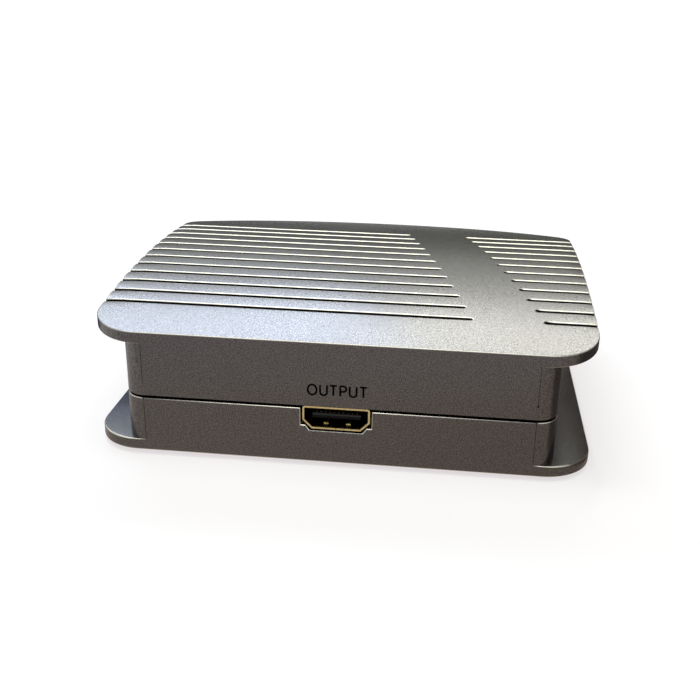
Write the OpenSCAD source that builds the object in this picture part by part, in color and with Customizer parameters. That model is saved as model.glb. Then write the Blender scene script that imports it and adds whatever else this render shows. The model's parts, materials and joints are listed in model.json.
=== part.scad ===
// Desktop HDMI switch: three inputs, one output, in a case of two plates round a narrower core.
// X runs along the case, Y from the output face to the input face, Z up.
// The origin is the middle of the footprint, on the surface that the feet stand on.

/* [Case] */
// Width of the top plate
top_w = 112.4; // [108:0.2:120]
// How far the base plate stands out beyond each side of the top plate
base_margin = 0.5; // [0:0.1:1]
// Depth of both plates along the middle
case_d = 102.5; // [98:0.5:115]
// How far the far edge falls back at the sides of the top plate
far_bow = 16; // [12:0.5:18]
// Height of the output face, from the underside of the base plate
face_h = 28.74; // [27:0.1:34]
// Rise of the crowned top above its near edge
crown_rise = 4.26; // [3:0.1:6]
// Thickness of both plates
plate_t = 2.65; // [2:0.05:3.2]
// Radius of the plates' near corners
near_corner_r = 11; // [8:0.5:14]
// Radius of the plates' far corners
far_corner_r = 7; // [5:0.5:9]

/* [Core] */
// Width of the core between the plates
core_w = 96.6; // [95:0.2:100]
// How far the plates stand out beyond the core's far face, along the middle
far_overhang = 10.5; // [8.5:0.5:12]
// Radius of the core's near corners
core_near_r = 5; // [4:0.5:6]
// Radius of the core's far corners
core_far_r = 10; // [9:0.5:12]
// Wall thickness of the core
wall_t = 2.2; // [1.8:0.1:2.6]
// Height of the base's rim above the underside of its plate
rim_h = 13.05; // [12.6:0.05:13.3]
// Shadow gap between the two halves
seam_gap = 0.65; // [0.4:0.05:0.9]
// Thickness of the locating lip
lip_t = 0.9; // [0.7:0.05:1.1]
// Height of the locating lip above the rim
lip_h = 1.9; // [1.4:0.1:2.4]
// Clearance round the locating lip
lip_gap = 0.15; // [0.1:0.01:0.25]

/* [Grooves] */
// Number of grooves
groove_n = 12; // [2:1:13]
// Distance of the first groove from the near edge
groove_first = 14.44; // [13:0.1:18]
// Distance between grooves
groove_pitch = 5.92; // [4:0.01:6]
// Width of a groove
groove_w = 1.4; // [0.8:0.1:2]
// Depth of a groove
groove_depth = 0.75; // [0.3:0.05:1]
// Width of the smooth band across the grooves
band_w = 15.6; // [8:0.1:24]
// Place of the band's middle at the first groove
band_x = 36.6; // [20:0.1:40]
// How far the band leans to the left, from the first groove to the last
band_lean = 17.9; // [0:0.1:30]

/* [Feet] */
// Radius of a rubber foot
foot_r = 5.5; // [4.5:0.1:6]
// How far a foot stands below the base
foot_drop = 1.2; // [0.8:0.1:2]
// Depth of a foot's recess
foot_recess = 0.8; // [0.5:0.1:1]
// Clearance round a foot
foot_gap = 0.15; // [0.1:0.05:0.3]

/* [Case screws] */
// Distance of a case screw from the core's sides
boss_side_inset = 7.1; // [6.8:0.1:8.3]
// Distance of a case screw from the core's near and far faces
boss_inset = 8.5; // [8:0.1:9]
// Outer radius of the base's screw bosses
boss_r = 4; // [3.8:0.1:4.1]
// Outer radius of the top cover's screw posts
post_r = 3.2; // [2.8:0.1:3.4]
// Thread radius of a case screw
case_screw_r = 1.5; // [1.2:0.05:1.6]
// Head radius of a case screw
case_head_r = 2.7; // [2.4:0.1:2.8]
// Head height of a case screw
case_head_h = 1.8; // [1.4:0.1:2.2]
// Shank length of a case screw
case_screw_l = 12; // [9:0.5:14]
// Height of the bosses' meeting plane above the board's top
boss_rise = 1.7; // [1:0.1:2.5]

/* [Board] */
// Board thickness
board_t = 1.6; // [1:0.1:1.8]
// Height of the board's underside above the base plate
standoff_h = 3.85; // [3.6:0.05:4]
// Gap between the board and the core's inner walls
board_gap = 0.8; // [0.5:0.1:1.2]
// Outer radius of a standoff
standoff_r = 2.8; // [2.4:0.1:3.2]
// Thread radius of a board screw
board_screw_r = 1.25; // [1:0.05:1.4]
// Head radius of a board screw
board_head_r = 2.3; // [2:0.1:2.6]
// Head height of a board screw
board_head_h = 1.5; // [1.2:0.1:1.8]
// Shank length of a board screw
board_screw_l = 4.8; // [4:0.1:5]
// Distance of a board screw from the core's sides
board_screw_side = 10.3; // [9.3:0.1:12.3]
// Distance of the near board screws from the output face
board_screw_near = 18; // [17:0.5:19]
// Distance of the far board screws from the input face
board_screw_far = 22; // [21:0.5:23]

/* [HDMI sockets] */
// Width of a socket's shell
port_w = 15; // [14.8:0.05:15.2]
// Height of a socket's shell
port_h = 5.42; // [5.3:0.02:5.5]
// Leg of the slanted lower corners
port_chamfer = 2.03; // [1.8:0.01:2.2]
// Radius of the upper corners
port_corner_r = 0.6; // [0.5:0.05:0.8]
// Sheet thickness of the shell
shell_t = 0.4; // [0.3:0.01:0.45]
// Length of the shell
shell_l = 11.4; // [10.5:0.1:12]
// How far the shell's mouth lies behind the case's face
port_recess = 0.25; // [0:0.05:0.5]
// Gap between the shell and its notch
notch_gap = 0.42; // [0.3:0.01:0.5]
// How far the notch's sides run below the shell's slant
notch_drop = 1.2; // [0.8:0.1:1.3]
// Width of the small ledge beside the slant
notch_ledge = 1.15; // [0.8:0.05:1.3]
// Distance between the input sockets
input_pitch = 21; // [19:0.5:22]
// Width of the contact tongue
tongue_w = 10.7; // [10.4:0.1:11]
// Thickness of the contact tongue
tongue_t = 1.2; // [1:0.05:1.3]
// Free space above the tongue, up to the shell
tongue_top_gap = 1.45; // [1.3:0.05:1.55]
// How far the tongue's end lies behind the shell's mouth
tongue_recess = 0.9; // [0.5:0.1:1.5]
// Length of the insulator's block behind the tongue
block_l = 3.6; // [3:0.1:4]
// Contacts on the tongue's upper side
top_contacts = 10; // [4:1:10]
// Contacts on the tongue's lower side
low_contacts = 9; // [3:1:9]
// Distance between neighbouring contacts on one side
contact_pitch = 1; // [0.8:0.05:1]
// Width of a contact
contact_w = 0.3; // [0.2:0.02:0.36]
// Thickness of a contact
contact_t = 0.14; // [0.1:0.01:0.16]

/* [Supply socket] */
// Width of the supply socket's body
jack_w = 9; // [8.5:0.1:9.5]
// Height of the supply socket's body
jack_h = 11; // [10.6:0.1:11.5]
// Length of the supply socket's body
jack_l = 14.4; // [13.5:0.1:15]
// Height of the plug's axis above the board
jack_axis_h = 6.5; // [6:0.1:6.6]
// Radius of the bore for the plug
jack_bore_r = 3.2; // [3:0.05:3.4]
// Radius of the centre pin
jack_pin_r = 1.05; // [0.8:0.05:1.25]
// Depth of the bore for the plug
jack_bore_l = 9.5; // [9:0.1:10]
// How far the pin's end lies behind the mouth
jack_pin_recess = 0.6; // [0.3:0.1:1.5]
// Distance of the supply socket from the input face
jack_far = 30; // [29:0.5:37]
// Gap round the supply socket's body
jack_gap = 0.3; // [0.2:0.05:0.4]

/* [Select button] */
// Distance of the button from the middle of the outer input beside it
button_aside = 11.9; // [11.6:0.1:12.2]
// Radius of the button
button_r = 2.2; // [1.8:0.1:2.3]
// Running clearance round the button
button_gap = 0.2; // [0.15:0.01:0.25]
// How far the button stands out of the wall
button_out = 1.3; // [1:0.1:1.8]
// Travel of the button
button_travel = 0.35; // [0.2:0.05:0.5]
// Radius of the flange that keeps the button in
button_flange_r = 3; // [2.8:0.1:3.2]
// Thickness of that flange
button_flange_t = 0.9; // [0.7:0.1:1.2]
// Radius of the button's stem
button_stem_r = 1.2; // [1:0.1:1.4]
// Length of the button's stem
button_stem_l = 2.4; // [2:0.1:3]
// Height of the button's axis above the board
button_axis_h = 2; // [1.9:0.05:2.1]

/* [Lights and receiver] */
// Height of the light guides' axis above the board
guide_axis_h = 10.6; // [9.5:0.1:11.5]
// Thickness of a light guide
guide_t = 2; // [1.6:0.1:2.4]
// Size of the rim that stops a light guide behind the wall
guide_rim = 0.5; // [0.3:0.1:0.7]
// Distance of a status light behind the input face
led_inset = 17; // [16:0.5:20]
// Distance of the receiver's window from the middle of the outer input beside it
window_aside = 11.9; // [11:0.1:12.6]
// Width of the receiver's window
window_w = 5.6; // [5:0.1:6]
// Height of the receiver's window
window_h = 4.6; // [4:0.1:5]
// Press gap round the window and the light guides
trim_gap = 0.06; // [0.04:0.01:0.1]

/* [Hidden] */
$fn = 64;

// One overrun serves every cut
over = 1;
// Heights of the main planes
floor_z = foot_drop;
plate_z = floor_z + plate_t;
rim_z = floor_z + rim_h;
lid_z = rim_z + seam_gap;
board_z = plate_z + standoff_h;
parts_z = board_z + board_t;
meet_z = parts_z + boss_rise;
port_z = parts_z + port_h / 2;
face_z = floor_z + face_h;
button_z = parts_z + button_axis_h;
guide_z = parts_z + guide_axis_h;
// Width of the base plate, and depth of the core between the plates
base_w = top_w + 2 * base_margin;
core_d = case_d - far_overhang;
// Planes across the depth
near_y = -case_d / 2;
far_y = case_d / 2;
input_y = near_y + core_d;
// The crowned top is part of a cylinder along X
crown_r = (pow(case_d / 2, 2) + pow(crown_rise, 2)) / (2 * crown_rise);
crown_z = face_z + crown_rise - crown_r;
function top_z(y) = crown_z + sqrt(pow(crown_r, 2) - pow(y, 2));
// The far edge is part of a circle
bow_r = (pow(top_w / 2, 2) + pow(far_bow, 2)) / (2 * far_bow);
bow_y = far_y - bow_r;
// Places that repeat
boss_x = core_w / 2 - boss_side_inset;
board_screw_x = core_w / 2 - board_screw_side;
button_x = input_pitch + button_aside;
window_x = input_pitch + window_aside;
boss_ys = [near_y + boss_inset, input_y - boss_inset];
board_screw_ys = [near_y + board_screw_near, input_y - board_screw_far];
input_xs = [-input_pitch, 0, input_pitch];
board_half = core_w / 2 - wall_t - board_gap;
board_near = near_y + wall_t + board_gap;
board_far = input_y - wall_t - board_gap;
// Height of the shoulder that a case screw's head pulls against
case_seat_z = floor_z + foot_recess + case_head_h + plate_t / 2;
// Height of the tongue's upper side above the socket's middle
tongue_top = port_h / 2 - shell_t - tongue_top_gap;
// Places of a socket's four legs, as x and distance behind its mouth
leg_w = 1;
leg_l = 2.4;
leg_gap = 0.1;
leg_spots = [for (side = [-1, 1], back = [shell_l / 3, shell_l - 2 * leg_w])
    [side * (port_w - shell_t) / 2, back]];
// Small sizes of a socket
block_gap = 0.03;
tail_l = 1.1;
spring_w = 1;
spring_l = 2.6;
spring_h = 0.3;
spring_x = 2.5;
spring_inset = 2.2;
seam_w = 0.12;
// Small sizes of the supply socket
jack_recess = 0.3;
jack_shank_r = 0.8;
jack_hole_gap = 0.06;
jack_blade_t = 0.6;
jack_blade_w = 2.4;
jack_leaf_t = 0.3;
jack_leaf_l = 6.5;
jack_leaf_rise = 0.25;
// Small sizes of the switch behind the button
switch_w = 6;
switch_l = 3.6;
switch_h = 3.5;
plunger_r = 0.9;
plunger_out = 0.8;
plunger_in = 0.9;
plunger_gap = 0.06;
// Sizes of the parts on the board
led_w = 2;
led_l = 1.25;
led_h = 0.8;
guide_gap = 0.2;
receiver_w = 5.2;
receiver_l = 3.4;
receiver_h = 6.8;
receiver_lens_r = 2;
receiver_pin_w = 0.5;
receiver_pin_pitch = 2.54;
quad_w = 12;
quad_h = 1.4;
quad_lead_n = 16;
quad_pitch = 0.65;
lead_w = 0.28;
lead_t = 0.16;
lead_reach = 1.1;
dual_w = 7.5;
dual_l = 12.8;
dual_h = 2.3;
dual_lead_n = 10;
dual_pitch = 1.27;
regulator_w = 6.5;
regulator_l = 3.5;
regulator_h = 1.6;
regulator_lead_n = 3;
regulator_pitch = 2.3;
regulator_lead_w = 0.7;
can_r = 3.15;
can_h = 5.4;
can_bead = 0.25;
can_base_w = 6.6;
can_base_h = 1.3;
inductor_w = 7;
inductor_h = 3.4;
inductor_pad_w = 1.4;
crystal_w = 11.4;
crystal_l = 4.6;
crystal_h = 3.6;
crystal_rim = 0.45;
array_w = 2.5;
array_l = 1;
array_h = 0.6;
resistor_w = 1.6;
resistor_l = 0.8;
resistor_h = 0.5;
resistor_step = 2.2;
fuse_w = 3.2;
fuse_l = 4.5;
fuse_h = 1.2;
// Planes along the button, from the wall's inner side to the front of the switch
wall_in_y = input_y - wall_t;
stem_y = wall_in_y - button_flange_t;
plunger_y = stem_y - button_stem_l;
switch_y = plunger_y - plunger_out;
// Front of the receiver's lens, just behind its window, and the middle of the receiver
lens_y = wall_in_y - guide_rim - guide_gap;
receiver_y = lens_y - receiver_lens_r - receiver_l / 2;
// Places on the board, as shares of its half width and half depth
quad_place_shares = [0.02, -0.1];
dual_place_shares = [-0.52, 0.02];
regulator_place_shares = [0.5, -0.08];
inductor_place_shares = [0.74, -0.14];
can_place_shares = [[0.5, -0.42], [0.72, -0.42], [0.5, 0.34]];
crystal_place_shares = [-0.32, -0.4];
resistor_row_shares = [[-0.6, -0.62], [0.3, -0.62], [-0.16, 0.3], [-0.7, 0.4], [0.24, 0.12]];
resistors_in_row = 6;
fuse_place_shares = [0.62, 0.14];
// Roundness of the large circles
round_fn = 96;
arc_fn = 360;

module at_sides(x) {
    for (side = [-1, 1]) translate([side * x, 0]) children();
}

// Outline of a plate: straight near edge and sides, round near corners, bowed far edge
module plate_outline(w) {
    corner_x = w / 2 - far_corner_r;
    corner_y = bow_y + sqrt(pow(bow_r - far_corner_r, 2) - pow(corner_x, 2));
    tangent_x = corner_x * bow_r / (bow_r - far_corner_r);
    near_x = w / 2 - near_corner_r;
    at_sides(near_x) translate([0, near_y + near_corner_r]) circle(near_corner_r, $fn = round_fn);
    at_sides(corner_x) translate([0, corner_y]) circle(far_corner_r, $fn = round_fn);
    translate([-near_x, near_y]) square([2 * near_x, near_corner_r]);
    translate([-w / 2, near_y + near_corner_r]) square([w, corner_y - near_y - near_corner_r]);
    intersection() {
        translate([0, bow_y]) circle(bow_r, $fn = arc_fn);
        translate([-tangent_x, near_y + near_corner_r]) square([2 * tangent_x, case_d]);
    }
}

// Outline of the core, moved inwards by inset
module core_outline(inset) {
    half = core_w / 2 - inset;
    near = near_y + inset;
    far = input_y - inset;
    near_r = core_near_r - inset;
    far_r = core_far_r - inset;
    at_sides(half - near_r) translate([0, near + near_r]) circle(near_r);
    at_sides(half - far_r) translate([0, far - far_r]) circle(far_r);
    translate([near_r - half, near]) square([2 * (half - near_r), near_r]);
    translate([-half, near + near_r]) square([2 * half, far - far_r - near - near_r]);
    translate([far_r - half, far - far_r]) square([2 * (half - far_r), far_r]);
}

module core_block(inset, low, high) {
    translate([0, 0, low]) linear_extrude(high - low) core_outline(inset);
}

// A cylinder along X that the crowned top is cut from
module crown(r) {
    translate([-base_w, 0, crown_z]) rotate([0, 90, 0]) cylinder(h = 2 * base_w, r = r, $fn = arc_fn);
}

// One groove from x0 to x1, with a round end where a band edge stops it
module groove(x0, x1, y, end_x) {
    low = top_z(y) - groove_depth;
    translate([x0, y - groove_w / 2, low]) cube([x1 - x0, groove_w, groove_depth + over]);
    translate([end_x, y, low]) cylinder(h = groove_depth + over, d = groove_w);
}

module grooves() {
    for (i = [0 : groove_n - 1]) {
        y = near_y + groove_first + i * groove_pitch;
        band = band_x - band_lean * i / (groove_n - 1);
        left = band - band_w / 2 - groove_w / 2;
        right = band + band_w / 2 + groove_w / 2;
        groove(-top_w, left, y, left);
        groove(right, top_w, y, right);
    }
}

// Turns and moves a socket that faces -Y at the origin to its place in the case
module at_output() {
    translate([0, near_y + port_recess, port_z]) children();
}

module at_input(i) {
    translate([input_xs[i], input_y - port_recess, port_z]) rotate([0, 0, 180]) children();
}

module at_all_ports() {
    at_output() children();
    for (i = [0 : len(input_xs) - 1]) at_input(i) children();
}

// Stands a flat outline up, so that it runs along +Y from the socket's mouth
module along_y(length) {
    rotate([90, 0, 0]) mirror([0, 0, 1]) linear_extrude(length) children();
}

// Outline of a socket's shell, moved inwards by inset
module port_outline(inset) {
    half = port_w / 2 - inset;
    top = port_h / 2 - inset;
    slant = port_chamfer - inset * (2 - sqrt(2));
    r = max(port_corner_r - inset, shell_t / 4);
    polygon([[-half, slant - top], [-half, top - r], [half, top - r], [half, slant - top],
        [half - slant, -top], [slant - half, -top]]);
    at_sides(half - r) translate([0, top - r]) circle(r, $fn = 32);
    translate([r - half, top - r]) square([2 * (half - r), r]);
}

// Outline of the notch that a socket shows through, from its slanted foot to the rim
module notch_outline() {
    half = port_w / 2 + notch_gap;
    foot = port_w / 2 - port_chamfer + notch_gap;
    bottom = -port_h / 2 - notch_gap;
    ledge = port_chamfer - port_h / 2 - notch_drop;
    top = rim_z + lip_h + over - port_z;
    polygon([[-half, top], [-half, ledge], [notch_ledge - half, ledge], [-foot, bottom],
        [foot, bottom], [half - notch_ledge, ledge], [half, ledge], [half, top]]);
}

module port_notches() {
    at_all_ports() translate([0, -port_recess - over, 0]) along_y(wall_t + 2 * over) notch_outline();
}

// Room for the supply socket's end in the side walls of both halves
module jack_window() {
    translate([core_w / 2 - wall_t - over, input_y - jack_far - jack_w / 2 - jack_gap, parts_z - jack_gap])
        cube([wall_t + 2 * over, jack_w + 2 * jack_gap, jack_h + 2 * jack_gap]);
}

module top_cover() color("dimgray") difference() {
    union() {
        difference() {
            intersection() {
                crown(crown_r);
                translate([0, 0, lid_z]) linear_extrude(face_h + crown_rise) plate_outline(top_w);
            }
            crown(crown_r - plate_t);
        }
        difference() {
            intersection() {
                crown(crown_r - plate_t / 2);
                core_block(0, lid_z, face_z + crown_rise);
            }
            intersection() {
                crown(crown_r - plate_t);
                core_block(wall_t, lid_z - over, face_z + crown_rise);
            }
        }
        intersection() {
            crown(crown_r - plate_t / 2);
            for (y = boss_ys) at_sides(boss_x) translate([0, y, meet_z]) cylinder(h = face_h, r = post_r);
        }
    }
    grooves();
    core_lip_room();
    jack_window();
    for (y = boss_ys) at_sides(boss_x) translate([0, y, meet_z - over])
        cylinder(h = case_screw_l + over - (meet_z - case_seat_z), r = case_screw_r + trim_gap);
    for (x = input_xs) translate([x, input_y, guide_z])
        cube([guide_t + 2 * trim_gap, 2 * (wall_t + over), guide_t + 2 * trim_gap], center = true);
    translate([window_x, input_y, guide_z])
        cube([window_w + 2 * trim_gap, 2 * (wall_t + over), window_h + 2 * trim_gap], center = true);
}

// The top cover's walls are thinned inside, so that the locating lip fits behind them
module core_lip_room() {
    difference() {
        core_block(wall_t - lip_t - lip_gap, lid_z - over, rim_z + lip_h + lip_gap);
        for (y = boss_ys) at_sides(boss_x) translate([0, y, lid_z - 2 * over])
            cylinder(h = lip_h + 4 * over, r = post_r);
    }
}

module bottom_cover() color("dimgray") difference() {
    union() {
        translate([0, 0, floor_z]) linear_extrude(plate_t) plate_outline(base_w);
        difference() {
            union() {
                core_block(0, plate_z, rim_z);
                core_block(wall_t - lip_t, rim_z, rim_z + lip_h);
            }
            core_block(wall_t, plate_z, rim_z + lip_h + over);
        }
        for (y = boss_ys) at_sides(boss_x) translate([0, y, plate_z])
            cylinder(h = meet_z - plate_z, r = boss_r);
        for (y = board_screw_ys) at_sides(board_screw_x) translate([0, y, plate_z])
            cylinder(h = standoff_h, r = standoff_r);
    }
    port_notches();
    jack_window();
    for (y = boss_ys) at_sides(boss_x) translate([0, y, 0]) {
        cylinder(h = floor_z + foot_recess, r = foot_r + foot_gap);
        cylinder(h = case_seat_z, r = case_head_r + foot_gap);
        cylinder(h = meet_z + over, r = case_screw_r + foot_gap);
    }
    for (y = board_screw_ys) at_sides(board_screw_x) translate([0, y, board_z - board_screw_l + board_t])
        cylinder(h = board_screw_l, r = board_screw_r + trim_gap);
    translate([-button_x, input_y + over, button_z]) rotate([90, 0, 0])
        cylinder(h = wall_t + 2 * over, r = button_r + button_gap);
}

module rubber_feet() color("#1c1c1c") for (y = boss_ys) at_sides(boss_x) translate([0, y, 0])
    cylinder(h = foot_drop + foot_recess, r = foot_r);

// A screw whose head rests on z = 0 and whose shank runs up
module screw(shank_r, shank_l, head_r, head_h) {
    slot = head_r / 5;
    difference() {
        union() {
            translate([0, 0, -head_h]) cylinder(h = head_h, r = head_r);
            cylinder(h = shank_l - shank_r, r = shank_r);
            translate([0, 0, shank_l - shank_r]) cylinder(h = shank_r, r1 = shank_r, r2 = shank_r / 2);
        }
        for (turn = [0, 90]) rotate([0, 0, turn]) translate([0, 0, -head_h])
            cube([1.3 * head_r, slot, head_h], center = true);
    }
}

module case_screws() color("silver") for (y = boss_ys) at_sides(boss_x)
    translate([0, y, case_seat_z]) screw(case_screw_r, case_screw_l, case_head_r, case_head_h);

module board_screws() color("silver") for (y = board_screw_ys) at_sides(board_screw_x)
    translate([0, y, parts_z]) mirror([0, 0, 1])
        screw(board_screw_r, board_screw_l - trim_gap, board_head_r, board_head_h);

module circuit_board() color("darkgreen") difference() {
    translate([-board_half, board_near, board_z]) cube([2 * board_half, board_far - board_near, board_t]);
    for (side = [-1, 1]) {
        notch = boss_r + board_gap;
        near = boss_ys[0] + notch;
        far = boss_ys[1] - notch;
        cut = board_half - boss_x + notch + over;
        translate([side * (boss_x - notch + cut / 2), near - cut, board_z + board_t / 2])
            cube([cut, 2 * cut, 2 * board_t], center = true);
        translate([side * (boss_x - notch + cut / 2), far + cut, board_z + board_t / 2])
            cube([cut, 2 * cut, 2 * board_t], center = true);
    }
    for (y = board_screw_ys) at_sides(board_screw_x) translate([0, y, board_z - over])
        cylinder(h = board_t + 2 * over, r = board_screw_r + board_gap / 4);
    at_all_ports() for (spot = leg_spots) translate([spot[0], spot[1], -port_h / 2 - board_t / 2])
        cube([shell_t + 2 * leg_gap, leg_w + 2 * leg_gap, board_t + over], center = true);
    translate([-button_x, board_far, board_z + board_t / 2])
        cube([2 * button_flange_r + board_gap, 2 * (button_flange_t + button_travel + board_gap), 2 * board_t],
            center = true);
    receiver_pins(trim_gap);
}

// Socket shell: folded sheet with four legs, inward springs and a seam underneath
module socket_shell() {
    difference() {
        along_y(shell_l) port_outline(0);
        translate([0, -over, 0]) along_y(shell_l + 2 * over) port_outline(shell_t);
        translate([0, 0, -port_h / 2]) cube([seam_w, 2 * (shell_l + over), 3 * shell_t], center = true);
    }
    leg_h = leg_l + port_chamfer + leg_w;
    for (spot = leg_spots) translate([spot[0], spot[1], leg_h / 2 - leg_l - port_h / 2])
        cube([shell_t, leg_w, leg_h], center = true);
    at_sides(spring_x) translate([0, spring_inset + spring_l / 2, (spring_h + shell_t) / 2 - port_h / 2])
        cube([spring_w, spring_l, spring_h + shell_t], center = true);
}

// Insulator: a block that fills the shell's back, with the tongue in front of it
module socket_insulator() {
    tongue_back = shell_l - block_l;
    difference() {
        union() {
            translate([0, tongue_back, 0]) along_y(block_l) port_outline(shell_t + block_gap);
            translate([-tongue_w / 2, tongue_recess, tongue_top - tongue_t])
                cube([tongue_w, tongue_back - tongue_recess + block_gap, tongue_t]);
        }
        socket_contacts(block_gap);
    }
}

// One contact: a strip along the tongue, a drop behind the block and a foot on the board
module contact(x, z, tail, grow) {
    w = contact_w + 2 * grow;
    t = contact_t + 2 * grow;
    tip = tongue_recess + contact_pitch / 2;
    back = shell_l + tail;
    translate([x - w / 2, tip, z - grow]) cube([w, back - tip, t]);
    translate([x - w / 2, back - t, -port_h / 2]) cube([w, t, z + port_h / 2 + t - grow]);
    translate([x - w / 2, back - t, -port_h / 2]) cube([w, tail_l, contact_t]);
}

module socket_contacts(grow) {
    for (i = [0 : top_contacts - 1])
        contact((i - (top_contacts - 1) / 2) * contact_pitch, tongue_top, 4 * contact_t, grow);
    for (i = [0 : low_contacts - 1])
        contact((i - (low_contacts - 1) / 2) * contact_pitch, tongue_top - tongue_t - contact_t, 2 * contact_t, grow);
}

module output_shell() color("gold") at_output() socket_shell();
module output_insulator() color("#181818") at_output() socket_insulator();
module output_contacts() color("goldenrod") at_output() socket_contacts(0);
module input_shell(i) color("gold") at_input(i) socket_shell();
module input_insulator(i) color("#181818") at_input(i) socket_insulator();
module input_contacts(i) color("goldenrod") at_input(i) socket_contacts(0);

// Puts a part on the board at a pair of shares of the board's half width and half depth
module on_board(place) {
    middle = (board_near + board_far) / 2;
    translate([place[0] * board_half, middle + place[1] * (board_far - board_near) / 2, parts_z]) children();
}

// A box that stands on z = 0 over the middle of its base
module chip(w, l, h) {
    translate([0, 0, h / 2]) cube([w, l, h], center = true);
}

// One bent lead that leaves a package at x = edge and stands on the board
module bent_lead(edge, w, shoulder_z) {
    translate([edge, -w / 2, shoulder_z]) cube([lead_reach / 2, w, lead_t]);
    translate([edge + lead_reach / 2 - lead_t, -w / 2, 0]) cube([lead_t, w, shoulder_z + lead_t]);
    translate([edge + lead_reach / 2 - lead_t, -w / 2, 0]) cube([lead_reach / 2 + lead_t, w, lead_t]);
}

module lead_row(count, pitch, edge, w, shoulder_z) {
    for (i = [0 : count - 1]) translate([0, (i - (count - 1) / 2) * pitch, 0]) bent_lead(edge, w, shoulder_z);
}

// The supply socket lies along X with its mouth in the right wall
module at_jack() {
    translate([core_w / 2 - jack_recess, input_y - jack_far, parts_z + jack_axis_h]) children();
}

module jack_rod(r, start, length) {
    translate([-start - length, 0, 0]) rotate([0, 90, 0]) cylinder(h = length, r = r);
}

module supply_socket_body() color("#202020") at_jack() difference() {
    translate([-jack_l, -jack_w / 2, -jack_axis_h]) cube([jack_l, jack_w, jack_h]);
    jack_rod(jack_bore_r, -over, jack_bore_l + over);
    jack_rod(jack_shank_r + jack_hole_gap, 0, jack_l + over);
    translate([-jack_bore_l, -jack_blade_w / 2 - jack_hole_gap, -jack_axis_h - over])
        cube([jack_leaf_l + jack_leaf_t, jack_blade_w + 2 * jack_hole_gap, jack_axis_h + over - jack_pin_r]);
}

// Centre pin with a tapered end, a thinner shank through the body's back and a blade down to the board
module supply_centre_pin() color("silver") at_jack() {
    tip_r = jack_pin_r / 2;
    tip_l = jack_pin_r / 2;
    pin_l = jack_bore_l - jack_pin_recess;
    end_l = jack_l - jack_pin_recess + jack_blade_t;
    translate([-jack_pin_recess, 0, 0]) rotate([0, -90, 0]) rotate_extrude()
        polygon([[0, 0], [tip_r, 0], [jack_pin_r, tip_l], [jack_pin_r, pin_l],
            [jack_shank_r, pin_l], [jack_shank_r, end_l], [0, end_l]]);
    translate([-jack_l - jack_blade_t, -jack_blade_w / 2, -jack_axis_h])
        cube([jack_blade_t, jack_blade_w, jack_axis_h]);
}

module supply_contact_leaf() color("silver") at_jack() {
    translate([-jack_bore_l, -jack_blade_w / 2, jack_leaf_rise - jack_bore_r - jack_leaf_t])
        cube([jack_leaf_l, jack_blade_w, jack_leaf_t]);
    translate([-jack_bore_l, -jack_blade_w / 2, -jack_axis_h])
        cube([jack_leaf_t, jack_blade_w, jack_axis_h - jack_bore_r + jack_leaf_rise]);
}

// A round bar along Y on the button's axis, from y = start towards the output side
module button_rod(r, start, length) {
    translate([-button_x, start, button_z]) rotate([90, 0, 0]) cylinder(h = length, r = r);
}

// Turned shape: cap, keeping flange and stem, from the cap's face towards the switch
module select_button() color("black") {
    edge = button_r / 6;
    flange = button_out + wall_t;
    stem = flange + button_flange_t;
    translate([-button_x, input_y + button_out, button_z]) rotate([90, 0, 0]) rotate_extrude()
        polygon([[0, 0], [button_r - edge, 0], [button_r, edge], [button_r, flange],
            [button_flange_r, flange], [button_flange_r, stem], [button_stem_r, stem],
            [button_stem_r, stem + button_stem_l], [0, stem + button_stem_l]]);
}

module tactile_plunger() color("saddlebrown")
    button_rod(plunger_r, plunger_y, plunger_out + plunger_in);

module tactile_switch() color("#2a2a2a") difference() {
    translate([-button_x, switch_y - switch_l / 2, parts_z]) chip(switch_w, switch_l, switch_h);
    button_rod(plunger_r + plunger_gap, switch_y + over, over + plunger_in + button_travel + plunger_gap);
}

module light_guides() color("whitesmoke") for (x = input_xs) translate([x, input_y, guide_z]) {
    leg_top = guide_t / 2;
    leg_low = parts_z + led_h + guide_gap - guide_z;
    translate([-guide_t / 2, -led_inset, -guide_t / 2]) cube([guide_t, led_inset, guide_t]);
    translate([0, -wall_t - guide_rim / 2, 0])
        cube([guide_t + 2 * guide_rim, guide_rim, guide_t + 2 * guide_rim], center = true);
    translate([-guide_t / 2, -led_inset - guide_t / 2, leg_low]) cube([guide_t, guide_t, leg_top - leg_low]);
}

module status_leds() color("lightgreen") for (x = input_xs)
    translate([x, input_y - led_inset, parts_z]) chip(led_w, led_l, led_h);

module receiver_window() color("#3a0a12") {
    translate([window_x, input_y - wall_t / 2, guide_z]) cube([window_w, wall_t, window_h], center = true);
    translate([window_x, wall_in_y - guide_rim / 2, guide_z])
        cube([window_w + 2 * guide_rim, guide_rim, window_h + 2 * guide_rim], center = true);
}

module infrared_receiver() color("#151515") translate([window_x, receiver_y, guide_z]) {
    cube([receiver_w, receiver_l, receiver_h], center = true);
    intersection() {
        translate([0, receiver_l / 2, 0]) sphere(receiver_lens_r);
        translate([0, receiver_l / 2, -receiver_h / 2]) rotate([0, 0, 45])
            cylinder(h = receiver_h, r = 2 * receiver_lens_r);
    }
}

module receiver_pins(grow) {
    w = receiver_pin_w + 2 * grow;
    low = board_z - board_t / 2;
    high = guide_z - receiver_h / 2;
    for (i = [-1, 0, 1]) translate([window_x + i * receiver_pin_pitch - w / 2, receiver_y - w / 2, low])
        cube([w, w, high - low]);
}

module receiver_leads() color("silver") receiver_pins(0);

module switch_chip() color("#222222") on_board(quad_place_shares)
    translate([0, 0, lead_t]) chip(quad_w, quad_w, quad_h);

module switch_chip_leads() color("silver") on_board(quad_place_shares)
    for (turn = [0, 90, 180, 270]) rotate([0, 0, turn])
        lead_row(quad_lead_n, quad_pitch, quad_w / 2, lead_w, quad_h / 2);

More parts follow.
